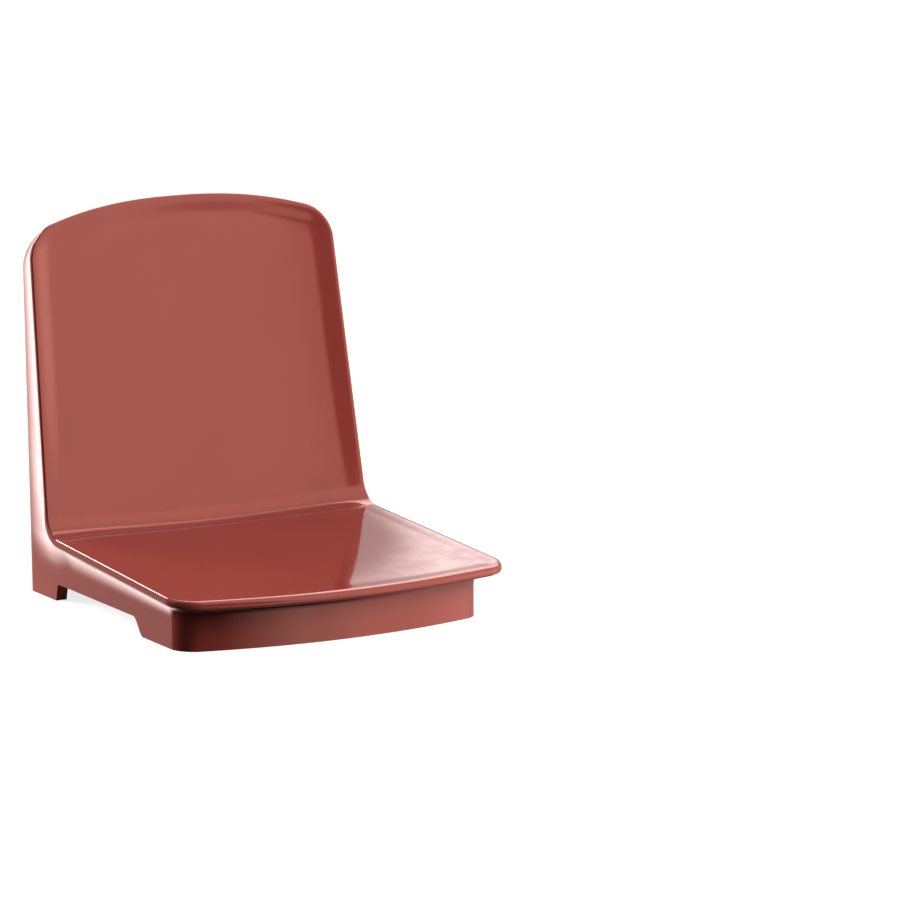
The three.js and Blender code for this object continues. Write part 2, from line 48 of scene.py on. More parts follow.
# Form of the moulded sheet, in millimetres. Forward is measured from the lower rear edge.
form = {
    "frontWidth": 436,
    "foldWidth": 429,
    "crownWidth": 400,
    "crownHeight": 465.8,
    "crownRise": 33.3,
    "crownPower": 2.34,
    "crownCornerRadius": 30,
    "frontForward": 441.9,
    "frontBow": 23.5,
    "frontCornerRadius": 28,
    "foldForward": 115.3,
    "foldHeight": 87.7,
    "panFall": 22.8,
    "recline": 10,
    "foldEdgeRadius": 30,
    "foldCentreRadius": 16,
    "panDish": 4.8,
    "frontDish": 1.3,
    "backDish": 1.3,
    "backSweep": 8.5,
    "dishBorder": 12,
    "curlDepth": 1.9,
    "panCurlDepth": 0.25,
    "curlStart": 3,
    "curlReach": 24,
    "curlFade": 190,
    "rimDepth": 9.3,
    "backRimDepth": 5.5,
    "rimFade": 40,
    "skin": 4,
    "lip": 4.5,
    "rimRounding": 2.2,
    "frontRounding": 7,
    "noseRounding": 1.2,
    "gridInset": 15,
}
halfFront = form["frontWidth"] / 2
halfFold = form["foldWidth"] / 2
halfCrown = form["crownWidth"] / 2
recline = math.radians(form["recline"])
panAngle = math.atan(form["panFall"] / (form["frontForward"] - form["foldForward"]))
panLength = (form["frontForward"] - form["foldForward"]) / math.cos(panAngle)
crownClimb = (form["crownHeight"] - form["foldHeight"]) / math.cos(recline)
foldTurn = math.pi / 2 - panAngle - recline

# Form of the moulded body, in millimetres
bodyForm = {
    "rearWidth": 362.4,
    "rearLean": 0.031,
    "rearTopHeight": 449.7,
    "rearCornerRadius": 33,
    "rearRounding": 8,
    "apronWidth": 395.4,
    "apronForward": 408,
    "apronBow": 30.5,
    "apronCornerRadius": 22,
    "wall": 4,
    "rimInset": 1,
    "sideFlareAtFold": 34,
    "rearFlare": 42,
    "flareBlend": 0.5,
    "sideFlareAtFront": 20,
    "apronFlare": 10,
    "panShare": 0.72,
    "sideSweep": 1.6,
    "seamOverlap": 8,
    "seamShare": 0.87,
    "raisedEdge": 20.3,
    "rearFootLength": 74,
    "footDraft": 4,
    "rearFootWidth": 46,
    "footThickness": 11,
    "footHeight": 34,
    "footCornerRadius": 4,
    "stepForward": 286,
    "stepLength": 25,
    "frontFootLength": 70,
    "fitGap": 0.3,
    "flangeWidth": 22,
    "flangeThickness": 3.7,
    "tongueThickness": 2.5,
    "tongueHeight": 3.5,
    "ribThickness": 3,
    "ribClearance": 26,
    "ribForwards": [145, 255, 380],
    "ribHeights": [190, 370],
    "overrun": 2,
}
halfRear = bodyForm["rearWidth"] / 2
halfApron = bodyForm["apronWidth"] / 2

# Y of the lower rear edge in the frame, from the body's rearmost point
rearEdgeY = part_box("body_shell")[1].y - bodyForm["rearLean"] * bodyForm["rearTopHeight"] * mm


def lerp(start, end, share):
    return start + (end - start) * share


def clamp(value):
    return max(0.0, min(1.0, value))


def smooth(share):
    share = clamp(share)
    return share * share * (3 - 2 * share)


def spread(start, end, count):
    return [lerp(start, end, i / count) for i in range(count + 1)]


def inFrame(across, forward, height):
    return Vector((across * mm, rearEdgeY - forward * mm, height * mm))


def halfWidthAt(path):
    if path > 0:
        return lerp(halfFold, halfFront, min(1, path / panLength))
    return lerp(halfFold, halfCrown, -path / crownClimb)


def rimDepthAt(path):
    return lerp(form["rimDepth"], form["backRimDepth"], smooth(-path / form["rimFade"]))


def foldTangent(share):
    radius = lerp(form["foldCentreRadius"], form["foldEdgeRadius"], share * share)
    return radius, radius * math.tan(foldTurn / 2)


# Distance of a place on the sheet from the outline
def edgeDistance(across, path):
    halfWidth = halfWidthAt(path)
    if path > 0:
        radius = form["frontCornerRadius"]
        fromEnd = frontPath(across, 0) - path
    else:
        radius = form["crownCornerRadius"]
        fromEnd = path - crownPath(across, 0)
    over = abs(across) - (halfWidth - radius)
    beyond = radius - fromEnd
    if over > 0 and beyond > 0:
        return radius - math.hypot(over, beyond)
    return min(halfWidth - abs(across), fromEnd)


# A point of the sheet: path runs along the pan (positive) and up the back (negative) from the fold
def sheetPoint(across, path, lift):
    halfWidth = halfWidthAt(path)
    share = min(1, abs(across) / halfWidth)
    radius, tangent = foldTangent(share)
    if path >= tangent:
        forward = form["foldForward"] + path * math.cos(panAngle)
        height = form["foldHeight"] - path * math.sin(panAngle)
        tilt = panAngle
        depth = lerp(form["panDish"], form["frontDish"], smooth(path / panLength))
    elif path <= -tangent:
        forward = form["foldForward"] + path * math.sin(recline)
        height = form["foldHeight"] - path * math.cos(recline)
        tilt = math.pi / 2 - recline
        depth = form["backDish"]
    else:
        turn = (tangent - path) / (2 * tangent)
        tilt = lerp(panAngle, math.pi / 2 - recline, turn)
        centreForward = form["foldForward"] + tangent * math.cos(panAngle) + radius * math.sin(panAngle)
        centreHeight = form["foldHeight"] - tangent * math.sin(panAngle) + radius * math.cos(panAngle)
        forward = centreForward - radius * math.sin(tilt)
        height = centreHeight - radius * math.cos(tilt)
        depth = lerp(form["panDish"], form["backDish"], smooth(turn))
    dishShare = min(1, abs(across) / (halfWidth - form["dishBorder"]))
    sweep = form["backSweep"] * (1 - share ** 2) * clamp((tangent - path) / (2 * tangent))
    curlDepth = lerp(form["panCurlDepth"], form["curlDepth"], smooth(-path / form["curlFade"]))
    curl = curlDepth * smooth((edgeDistance(across, path) - form["curlStart"]) / form["curlReach"])
    raised = lift - depth * (1 - dishShare ** 2) ** 2 - sweep - curl
    return inFrame(across, forward + raised * math.sin(tilt), height + raised * math.cos(tilt))


def frontPath(across, inset):
    bow = form["frontBow"] * (1 - (across / halfFront) ** 2)
    return (form["frontForward"] + bow - form["foldForward"] - inset) / math.cos(panAngle)


def crownPath(across, inset):
    drop = form["crownRise"] * abs(across / halfCrown) ** form["crownPower"] / math.cos(recline)
    return -(crownClimb - drop - inset)


def cornerCut(across, halfWidth, radius):
    over = max(0, abs(across) - (halfWidth - radius))
    return radius - math.sqrt(max(0, radius * radius - over * over))


# Same sheet by the share of the half width and the row: 0 to 1 pan, 1 to 2 fold, 2 to 3 back
def rowPoint(share, row, inset, liftAt):
    _, tangent = foldTangent(abs(share))
    if row <= 1:
        across = share * (halfFront - inset)
        radius = form["frontCornerRadius"] - inset
        cut = cornerCut(across, halfFront - inset, radius) / math.cos(panAngle)
        path = lerp(frontPath(across, inset) - cut, tangent, row)
    elif row < 2:
        path = tangent * (1 - 2 * (row - 1))
    else:
        across = share * (halfCrown - inset)
        cut = cornerCut(across, halfCrown - inset, form["crownCornerRadius"] - inset)
        path = lerp(-tangent, crownPath(across, inset) + cut, row - 2)
    return sheetPoint(share * (halfWidthAt(path) - inset), path, liftAt(path))


def underLip(extra):
    return lambda path: -(rimDepthAt(path) + extra)


def below(depth):
    return lambda path: -depth


# Shared by every piece, in metres and degrees
meshDetail = {
    "weld": 0.00002,
    "sliver": 0.00001,
    "sharpAngle": 35,
    "roundSteps": 48,
}


def pieceFrom(bm, name, sharpAngle=meshDetail["sharpAngle"]):
    mesh = bpy.data.meshes.new(name)
    bm.to_mesh(mesh)
    bm.free()
    piece = bpy.data.objects.new(name, mesh)
    bpy.context.scene.collection.objects.link(piece)
    shadeSmooth(piece, sharpAngle)
    return piece


def shadeSmooth(piece, sharpAngle=meshDetail["sharpAngle"]):
    mesh = piece.data
    mesh.polygons.foreach_set("use_smooth", [True] * len(mesh.polygons))
    mesh.set_sharp_from_angle(angle=math.radians(sharpAngle))
    mesh.update()


# The verts of a new grid, each with the numbers of its column and row
def gridVerts(bm, columns, rows):
    made = bmesh.ops.create_grid(bm, x_segments=columns, y_segments=rows, size=1)
    return [(vert, round((vert.co.x + 1) / 2 * columns), round((vert.co.y + 1) / 2 * rows))
            for vert in made["verts"]]


def gridPatch(bm, columns, rows, place):
    for vert, column, row in gridVerts(bm, len(columns) - 1, len(rows) - 1):
        vert.co = place(columns[column], rows[row])


def closeForm(bm):
    bmesh.ops.remove_doubles(bm, verts=bm.verts, dist=meshDetail["weld"])
    bmesh.ops.dissolve_degenerate(bm, edges=bm.edges, dist=meshDetail["sliver"])
    bmesh.ops.recalc_face_normals(bm, faces=bm.faces)


def boxTool(name, boxes):
    bm = bmesh.new()
    for fromX, toX, fromForward, toForward, fromHeight, toHeight in boxes:
        low = inFrame(fromX, toForward, fromHeight)
        high = inFrame(toX, fromForward, toHeight)
        size = high - low
        place = Matrix.Translation((low + high) / 2) @ Matrix.Diagonal((size.x, size.y, size.z, 1))
        bmesh.ops.create_cube(bm, size=1, matrix=place)
    return pieceFrom(bm, name)


def cylinderTool(name, diameter, spans, level=False):
    bm = bmesh.new()
    for start, end in spans:
        turn = Matrix.Rotation(math.pi / 2, 4, "X") if level else Matrix.Identity(4)
        place = Matrix.Translation((start + end) / 2) @ turn
        radius = diameter / 2 * mm
        bmesh.ops.create_cone(bm, cap_ends=True, segments=meshDetail["roundSteps"], radius1=radius,
                              radius2=radius, depth=(end - start).length, matrix=place)
    return pieceFrom(bm, name)


def combine(target, tool, operation, keepTool=False):
    modifier = target.modifiers.new("combine", "BOOLEAN")
    modifier.operation = operation
    modifier.solver = "MANIFOLD"
    modifier.object = tool
    bpy.context.view_layer.update()
    shaped = target.evaluated_get(bpy.context.evaluated_depsgraph_get())
    mesh = bpy.data.meshes.new_from_object(shaped)
    target.modifiers.clear()
    old = target.data
    target.data = mesh
    bpy.data.meshes.remove(old)
    if not keepTool:
        bpy.data.objects.remove(tool)
    return target


def sheetBlock(name, inset, upper, lower, columns, rows):
    bm = bmesh.new()
    shareLayer = bm.verts.layers.float.new("share")
    rowLayer = bm.verts.layers.float.new("row")
    for vert, column, row in gridVerts(bm, len(columns) - 1, len(rows) - 1):
        vert[shareLayer] = columns[column]
        vert[rowLayer] = rows[row]
        vert.co = rowPoint(vert[shareLayer], vert[rowLayer], inset, lower)
    raised = bmesh.ops.extrude_face_region(bm, geom=bm.faces[:], use_keep_orig=True)["geom"]
    for vert in (item for item in raised if isinstance(item, bmesh.types.BMVert)):
        vert.co = rowPoint(vert[shareLayer], vert[rowLayer], inset, upper)
    closeForm(bm)
    return pieceFrom(bm, name)


# The sheet of the seat
shellDetail = {
    "acrossSteps": 96,
    "cornerSteps": 7,
    "fineStep": 1.4,
    "coarseStep": 5.5,
    "fineReach": 26,
    "coarseReach": 90,
    "roundingSteps": 8,
    "noseSteps": 4,
    "borderInsets": [13, 11, 9.2, 7.6, 6.2, 5.3],
    "frontBorderInset": 13.6,
    "frontBorderGap": 0.7,
    "frontReach": 0.999,
    "undersideInset": 10,
    "filletWidth": 0.8,
    "filletDrop": 0.4,
    "sharpAngle": 40,
}


def sidePaths(start, end):
    paths = [start]
    while paths[-1] > end:
        share = smooth((abs(paths[-1]) - shellDetail["fineReach"]) /
                       (shellDetail["coarseReach"] - shellDetail["fineReach"]))
        paths.append(paths[-1] - lerp(shellDetail["fineStep"], shellDetail["coarseStep"], share))
    scale = (start - end) / (start - paths[-1])
    return [start - (start - path) * scale for path in paths]


cornerAngles = spread(0, math.pi / 4, shellDetail["cornerSteps"])
upperAngles = spread(math.pi / 4, math.pi / 2, shellDetail["cornerSteps"])
frontSideStart = frontPath(halfFront, 0) - form["frontCornerRadius"] / math.cos(panAngle)
crownSideEnd = crownPath(halfCrown, 0) + form["crownCornerRadius"]
straightPaths = sidePaths(frontSideStart, crownSideEnd)


def endForm(isFront):
    if isFront:
        return halfFront, form["frontCornerRadius"]
    return halfCrown, form["crownCornerRadius"]


# A place on the outline is how far it is across, and its path. The inset is its distance inward
def endPlace(isFront, across, cut, inset):
    halfWidth, _ = endForm(isFront)
    if isFront:
        path = frontPath(across, inset) - cut / math.cos(panAngle)
    else:
        path = crownPath(across, inset) + cut
    return across / (halfWidth - inset) * (halfWidthAt(path) - inset), path


def endPlaces(isFront, inset):
    halfWidth, radius = endForm(isFront)
    straight = shellDetail["acrossSteps"] - 2 * shellDetail["cornerSteps"]
    corner = [halfWidth - radius + (radius - inset) * math.sin(angle) for angle in cornerAngles]
    acrossList = [-across for across in reversed(corner)]
    acrossList += spread(-(halfWidth - radius), halfWidth - radius, straight)[1:-1] + corner
    return [endPlace(isFront, across, cornerCut(across, halfWidth - inset, radius - inset), inset)
            for across in acrossList]


def cornerPlaces(isFront, inset):
    halfWidth, radius = endForm(isFront)
    return [endPlace(isFront, halfWidth - radius + (radius - inset) * math.sin(angle),
                     (radius - inset) * (1 - math.cos(angle)), inset) for angle in upperAngles]


def sidePlaces(inset):
    straight = [(halfWidthAt(path) - inset, path) for path in straightPaths[1:-1]]
    return cornerPlaces(True, inset) + straight + cornerPlaces(False, inset)[::-1]


# The whole outline once round, front edge first
def outlinePlaces(inset):
    front = endPlaces(True, inset)
    right = sidePlaces(inset)
    crown = endPlaces(False, inset)[::-1]
    left = [(-across, path) for across, path in right[::-1]]
    return front[:-1] + right[:-1] + crown[:-1] + left[:-1]


def sheetGrid(bm, indexLayer, inset, lift):
    front = endPlaces(True, inset)
    crown = endPlaces(False, inset)
    side = sidePlaces(inset)
    columns = len(front) - 1
    rows = len(side) - 1
    count = 2 * (columns + rows)
    _, edgeTangent = foldTangent(1)
    made = gridVerts(bm, columns, rows)
    for vert, column, row in made:
        sidePath = side[row][1]
        rise = (side[0][1] - sidePath) / (side[0][1] - side[-1][1])
        share = lerp(front[column][0] / front[-1][0], crown[column][0] / crown[-1][0], rise)
        # rows keep to the lines where the fold starts and ends
        _, tangent = foldTangent(min(1, abs(share)))
        if abs(sidePath) < edgeTangent:
            path = sidePath * tangent / edgeTangent
        elif sidePath > 0:
            path = lerp(tangent, front[column][1], (sidePath - edgeTangent) / (side[0][1] - edgeTangent))
        else:
            path = lerp(-tangent, crown[column][1], (sidePath + edgeTangent) / (side[-1][1] + edgeTangent))
        vert.co = sheetPoint(share * side[row][0], path, lift)
        if row == 0:
            vert[indexLayer] = column
        elif column == columns:
            vert[indexLayer] = columns + row
        elif row == rows:
            vert[indexLayer] = columns + rows + (columns - column)
        elif column == 0:
            vert[indexLayer] = 2 * columns + rows + (rows - row)
        vert[indexLayer] %= count
    return [vert for vert, _, _ in made]


# Edges of an open border, each once and in the order of the verts
def boundaryOf(verts):
    return list(dict.fromkeys(edge for vert in verts for edge in vert.link_edges if edge.is_boundary))


# How much of the front's rounding a place of the outline has
frontShares = [smooth((path - straightPaths[1]) / (frontPath(halfFront, 0) - straightPaths[1]) *
                      shellDetail["frontReach"]) for _, path in outlinePlaces(0)]


# Next loop of the rim. The inset and the lift go from the sides' values to the front's
def extrudeLoop(bm, edges, indexLayer, inset, liftAt, frontInset=None, frontLift=0, sideLift=0):
    places = outlinePlaces(inset)
    frontPlaces = places if frontInset is None else outlinePlaces(frontInset)
    made = bmesh.ops.extrude_edge_only(bm, edges=edges)["geom"]
    verts = [item for item in made if isinstance(item, bmesh.types.BMVert)]
    for vert in verts:
        index = vert[indexLayer]
        share = frontShares[index]
        across, path = (lerp(side, front, share) for side, front in zip(places[index], frontPlaces[index]))
        vert.co = sheetPoint(across, path, liftAt(path) + lerp(sideLift, frontLift, share))
    moved = set(verts)
    return [edge for edge in boundaryOf(verts) if all(vert in moved for vert in edge.verts)]


def makeShell():
    bm = bmesh.new()
    indexLayer = bm.verts.layers.int.new("outline")
    radius = form["rimRounding"]
    frontRadius = form["frontRounding"]
    nose = form["noseRounding"]
    lip = form["lip"]
    edges = boundaryOf(sheetGrid(bm, indexLayer, form["gridInset"], 0))
    insets = shellDetail["borderInsets"]
    for inset in insets:
        share = (inset - insets[-1]) / (insets[0] - insets[-1])
        nearest = frontRadius + shellDetail["frontBorderGap"]
        frontInset = lerp(nearest, shellDetail["frontBorderInset"], share)
        edges = extrudeLoop(bm, edges, indexLayer, inset, below(0), frontInset)
    for angle in spread(0, math.pi / 2, shellDetail["roundingSteps"]):
        inward = 1 - math.sin(angle)
        down = math.cos(angle) - 1
        edges = extrudeLoop(bm, edges, indexLayer, radius * inward, below(0), frontRadius * inward,
                            frontRadius * down, radius * down)
    for angle in spread(0, math.pi / 2, shellDetail["noseSteps"]):
        inset = nose * (1 - math.cos(angle))
        edges = extrudeLoop(bm, edges, indexLayer, inset, underLip(nose * (math.sin(angle) - 1)))
    edges = extrudeLoop(bm, edges, indexLayer, lip, underLip(0))
    topEdges = extrudeLoop(bm, edges, indexLayer, lip, below(form["skin"] + shellDetail["filletDrop"]))
    edges = boundaryOf(sheetGrid(bm, indexLayer, form["gridInset"], -form["skin"]))
    for inset in (shellDetail["undersideInset"], lip + shellDetail["filletWidth"]):
        edges = extrudeLoop(bm, edges, indexLayer, inset, below(form["skin"]))
    bmesh.ops.bridge_loops(bm, edges=topEdges + edges)
    closeForm(bm)
    return pieceFrom(bm, "seatSheet", shellDetail["sharpAngle"])


# Steps of the body's mesh. Layers run from the floor up, and from the sheet to the rear wall
bodyDetail = {
    "apronSteps": 44,
    "cornerSteps": 10,
    "panRows": 44,
    "foldRows": 10,
    "backRows": 44,
    "layers": [0, 0.2, 0.38, 0.5, 0.58, 0.64, 0.7, 0.75, 0.79, 0.83, 0.865, 0.895, 0.92, 0.945, 0.965,
               0.98, 0.99, 0.996, 1],
    "rearLayers": [0, 0.05, 0.1, 0.16, 0.22, 0.3, 0.38, 0.46, 0.54, 0.62, 0.69, 0.75, 0.8, 0.84, 0.875,
                   0.905, 0.93, 0.95, 0.965, 0.978, 0.988, 0.995, 1],
    "endShare": 0.9999,
    "shareStep": 0.0005,
    "hollowRows": 20,
    "hollowFoldRows": 6,
    "sheetColumns": 40,
    "sheetRows": 24,
    "sheetFoldRows": 8,
    "footSteps": 8,
    "slopeSteps": 18,
    "flatWeight": 60,
}


# The body's closed form
def floorPoint(share, row, wall):
    halfFloor = halfApron - wall
    across = share * halfFloor
    bow = bodyForm["apronBow"] * (1 - (across / halfApron) ** 2)
    cut = cornerCut(across, halfFloor, bodyForm["apronCornerRadius"] - wall)
    forward = lerp(bodyForm["apronForward"] + bow - wall - cut, wall, row)
    widthShare = clamp(forward / bodyForm["apronForward"])
    return share * (lerp(halfRear, halfApron, widthShare) - wall), forward


def rearYAt(height, wall):
    return rearEdgeY + (bodyForm["rearLean"] * height - wall) * mm


def roundingDrop(distance, radius):
    inside = radius - max(0, min(distance, radius))
    return radius - math.sqrt(radius * radius - inside * inside)


def basePoint(share, row, layer, wall, depth, rounding):
    lift = underLip(bodyForm["fitGap"] + depth)
    floor = -bodyForm["overrun"] if wall > 0 else 0
    floorAcross, floorForward = floorPoint(share, row, wall)
    panShare = bodyForm["panShare"]
    top = rowPoint(share, min(1, row / panShare), bodyForm["rimInset"] + wall, lift)
    flare = lerp(bodyForm["sideFlareAtFront"], bodyForm["sideFlareAtFold"], min(1, row / panShare))
    topHeight = top.z / mm
    if row > panShare:
        back = (row - panShare) / (1 - panShare)
        rearX = share * (halfRear - wall) * mm
        rearY = rearYAt(topHeight, wall)
        top.x = lerp(rearX, top.x, (1 - back) ** bodyForm["sideSweep"])
        top.y = lerp(top.y, rearY, back)
    height = lerp(floor, topHeight, layer)
    underTop = topHeight + depth - height
    coved = 1 - math.sqrt(1 - clamp(1 - underTop / flare) ** 2)
    swept = clamp(1 - underTop / bodyForm["rearFlare"]) ** 2
    sideShare = lerp(coved, swept, smooth((row - panShare) / (1 - panShare) / bodyForm["flareBlend"]))
    frontShare = clamp(1 - underTop / bodyForm["apronFlare"]) ** 2
    leanShare = lerp(frontShare, layer, row)
    point = inFrame(floorAcross, floorForward, height)
    point.x = lerp(point.x, top.x, sideShare)
    point.y = lerp(point.y, top.y, leanShare)
    if row > panShare and rounding > 0:
        distance = (rearYAt(height, wall) - point.y) / mm
        point.x -= math.copysign(roundingDrop(distance, rounding), share) * mm
    return point


def rearEdgePoint(share, row, wall):
    start = rowPoint(share, 1, bodyForm["rimInset"] + wall, underLip(bodyForm["fitGap"])).z / mm
    across = share * (halfRear - wall)
    arch = form["crownRise"] * (across / halfRear) ** 2
    cut = cornerCut(across, halfRear - wall, bodyForm["rearCornerRadius"] - wall)
    top = bodyForm["rearTopHeight"] - arch - wall - cut
    return across, lerp(start, top, max(0, row - 1) / 2)


def wedgePoint(share, layer, row, wall, depth, rounding):
    lift = underLip(bodyForm["fitGap"] + depth)
    inset = bodyForm["rimInset"] + wall
    front = rowPoint(share, max(1, row), inset, lift)
    start = rowPoint(share, 1, inset, lift).z / mm
    across, rearTop = rearEdgePoint(share, 3, wall)
    sunk = row < 1
    down = bodyForm["seamOverlap"] if sunk else 0
    height = lerp(start, rearTop, max(0, row - 1) / 2) - down
    rearY = rearYAt(height, wall)
    gap = depth * mm
    inward = lerp(gap / (rearY - front.y + gap), 1, layer)
    # the hollow keeps further in at the fold, inside the cove under the rim
    held = lerp(bodyForm["seamShare"], 1, smooth(row - 1)) if wall > 0 else 1
    point = Vector((
        lerp(across * mm, front.x, (1 - inward) ** bodyForm["sideSweep"]) * held,
        lerp(front.y, rearY, layer),
        lerp(front.z - down * mm, height * mm, layer),
    ))
    distance = (rearY - point.y) / mm
    if rounding > 0 and distance < rounding:
        drop = roundingDrop(distance, rounding) * mm
        if row < 3 or abs(share) > bodyDetail["endShare"]:
            point.x -= math.copysign(drop, share)
        else:
            near = rearEdgePoint(share - bodyDetail["shareStep"], 3, wall)
            far = rearEdgePoint(share + bodyDetail["shareStep"], 3, wall)
            slope = Vector((far[0] - near[0], far[1] - near[1])).normalized()
            point.x += slope.y * drop
            point.z -= slope.x * drop
    return point


def endShares(halfWidth, radius):
    corner = [(halfWidth - radius + radius * math.sin(angle)) / halfWidth
              for angle in spread(0, math.pi / 2, bodyDetail["cornerSteps"])]
    middle = spread(-corner[0], corner[0], bodyDetail["apronSteps"])
    return [-share for share in reversed(corner)] + middle[1:-1] + corner


apronShares = endShares(halfFront, form["frontCornerRadius"])
crownShares = endShares(halfCrown, form["crownCornerRadius"])


def outerForm(name, rounding):
    bm = bmesh.new()
    layers = bodyDetail["layers"]
    rearLayers = bodyDetail["rearLayers"]
    panRows = spread(0, bodyForm["panShare"], bodyDetail["panRows"])
    sideRows = panRows + [lerp(bodyForm["panShare"], 1, layer) for layer in rearLayers[1:]]
    backRows = spread(1, 2, bodyDetail["foldRows"]) + spread(2, 3, bodyDetail["backRows"])[1:]

    gridPatch(bm, apronShares, layers, lambda share, layer: basePoint(share, 0, layer, 0, 0, rounding))
    for side in (-1, 1):
        gridPatch(bm, sideRows, layers, lambda row, layer: basePoint(side, row, layer, 0, 0, rounding))
        gridPatch(bm, backRows, rearLayers, lambda row, layer: wedgePoint(side, layer, row, 0, 0, rounding))
    gridPatch(bm, crownShares, rearLayers, lambda share, layer: wedgePoint(share, layer, 3, 0, 0, rounding))

    # the face under the sheet, whose columns go over from the front edge's to the crown's
    rows = [row / bodyForm["panShare"] for row in panRows] + backRows[1:]

    def underSheet(index, row):
        share = lerp(apronShares[index], crownShares[index], clamp(row / 3))
        return rowPoint(share, row, bodyForm["rimInset"], underLip(bodyForm["fitGap"]))

    gridPatch(bm, list(range(len(apronShares))), rows, underSheet)
    bmesh.ops.remove_doubles(bm, verts=bm.verts, dist=meshDetail["weld"])

    # rear wall and floor are flat, so each is one face
    sliver = meshDetail["sliver"]
    low = [vert for vert in bm.verts if vert.is_boundary and vert.co.z < sliver]
    rear = max(vert.co.y for vert in low)
    corners = [vert for vert in low if vert.co.y > rear - sliver]
    bmesh.ops.contextual_create(bm, geom=corners)
    edges = [edge for edge in bm.edges if not edge.link_faces or edge.is_boundary]
    floorEdges = [edge for edge in edges if all(vert.co.z < sliver for vert in edge.verts)]
    rearEdges = [edge for edge in edges if edge not in floorEdges]
    crossEdge = [edge for edge in floorEdges if all(vert in corners for vert in edge.verts)]
    bmesh.ops.edgeloop_fill(bm, edges=floorEdges)
    bmesh.ops.edgeloop_fill(bm, edges=rearEdges + crossEdge)
    closeForm(bm)
    return pieceFrom(bm, name)


def mappedBlock(name, columns, rows, layers, place):
    bm = bmesh.new()
    for layer in (layers[0], layers[-1]):
        gridPatch(bm, columns, rows, lambda column, row: place(column, row, layer))
    for row in (rows[0], rows[-1]):
        gridPatch(bm, columns, layers, lambda column, layer: place(column, row, layer))
    for column in (columns[0], columns[-1]):
        gridPatch(bm, rows, layers, lambda row, layer: place(column, row, layer))
    closeForm(bm)
    return pieceFrom(bm, name)


# The same form a wall's thickness further in, and lower at the top
def innerForm(name, wall, depth):
    panRows = spread(0, bodyForm["panShare"], bodyDetail["hollowRows"])
    rows = panRows + [lerp(bodyForm["panShare"], 1, layer) for layer in bodyDetail["rearLayers"][2::2]]
    backRows = [0] + spread(1, 2, bodyDetail["hollowFoldRows"]) + spread(2, 3, bodyDetail["hollowRows"])[1:]
    base = mappedBlock(name, apronShares, rows, bodyDetail["layers"],
                       lambda share, row, layer: basePoint(share, row, layer, wall, depth, 0))
    wedge = mappedBlock("wedge", crownShares, bodyDetail["rearLayers"][::2], backRows,
                        lambda share, layer, row: wedgePoint(share, layer, row, wall, depth, 0))
    return combine(base, wedge, "UNION")


# Screw posts, cups and inserts, in millimetres
fixings = {
    "screwX": 95,
    "postDiameter": 12,
    "postRoot": 0.5,
    "panPostLength": 16,
    "backPostLength": 28,
    "pilotDiameter": 4.6,
    "pilotDepth": 13,
    "padDiameter": 20,
    "padThickness": 4,
    "postGuide": 5,
    "padHoleDiameter": 5.6,
    "cupDiameter": 14,
    "insertX": 145,
    "bossDiameter": 24,
    "bossHeight": 26,
    "insertDiameter": 12,
    "insertFlangeDiameter": 18,
    "insertFlangeThickness": 1.6,
    "insertLength": 16,
}


def panHeight(across, forward):
    path = (forward - form["foldForward"]) / math.cos(panAngle)
    return sheetPoint(across, path, 0).z / mm


def backForward(across, height):
    path = -(height - form["foldHeight"]) / math.cos(recline)
    return (rearEdgeY - sheetPoint(across, path, 0).y) / mm


# Each screw's place and the end of its post
panScrews = []
backScrews = []
for side in (-1, 1):
    for forward in (bodyForm["ribForwards"][0], bodyForm["ribForwards"][2]):
        end = panHeight(fixings["screwX"], forward) - form["skin"] - fixings["panPostLength"]
        panScrews.append((side * fixings["screwX"], forward, end))
    for height in bodyForm["ribHeights"]:
        end = backForward(fixings["screwX"], height) - form["skin"] - fixings["backPostLength"]
        backScrews.append((side * fixings["screwX"], height, end))
insertPlaces = [(side * fixings["insertX"], forward) for side in (-1, 1)
                for forward in bodyForm["ribForwards"][:2]]


def panSpans(fromOffset, toOffset, fromFloor=None, toHeight=None):
    spans = []
    for across, forward, end in panScrews:
        low = end + fromOffset if fromFloor is None else fromFloor
        high = end + toOffset if toHeight is None else toHeight
        spans.append((inFrame(across, forward, low), inFrame(across, forward, high)))
    return spans


def backSpans(fromOffset, toOffset, fromWall=None, toForward=None):
    spans = []
    for across, height, end in backScrews:
        low = end + fromOffset if fromWall is None else fromWall - bodyForm["rearLean"] * height
        high = end + toOffset if toForward is None else toForward
        spans.append((inFrame(across, low, height), inFrame(across, high, height)))
    return spans


def insertSpans(fromOffset, toOffset):
    edge = bodyForm["raisedEdge"]
    return [(inFrame(across, forward, edge + fromOffset), inFrame(across, forward, edge + toOffset))
            for across, forward in insertPlaces]


def addPosts(shell):
    sunk = form["skin"] / 2 + fixings["postRoot"]
    panTop = form["skin"] + fixings["panPostLength"] - sunk
    backTop = form["skin"] + fixings["backPostLength"] - sunk
    post = fixings["postDiameter"]
    pilot = fixings["pilotDiameter"]
    combine(shell, cylinderTool("panPosts", post, panSpans(0, panTop)), "UNION")
    combine(shell, cylinderTool("backPosts", post, backSpans(0, backTop), True), "UNION")
    start = -bodyForm["overrun"]
    depth = fixings["pilotDepth"]
    combine(shell, cylinderTool("panPilots", pilot, panSpans(start, depth)), "DIFFERENCE")
    combine(shell, cylinderTool("backPilots", pilot, backSpans(start, depth), True), "DIFFERENCE")


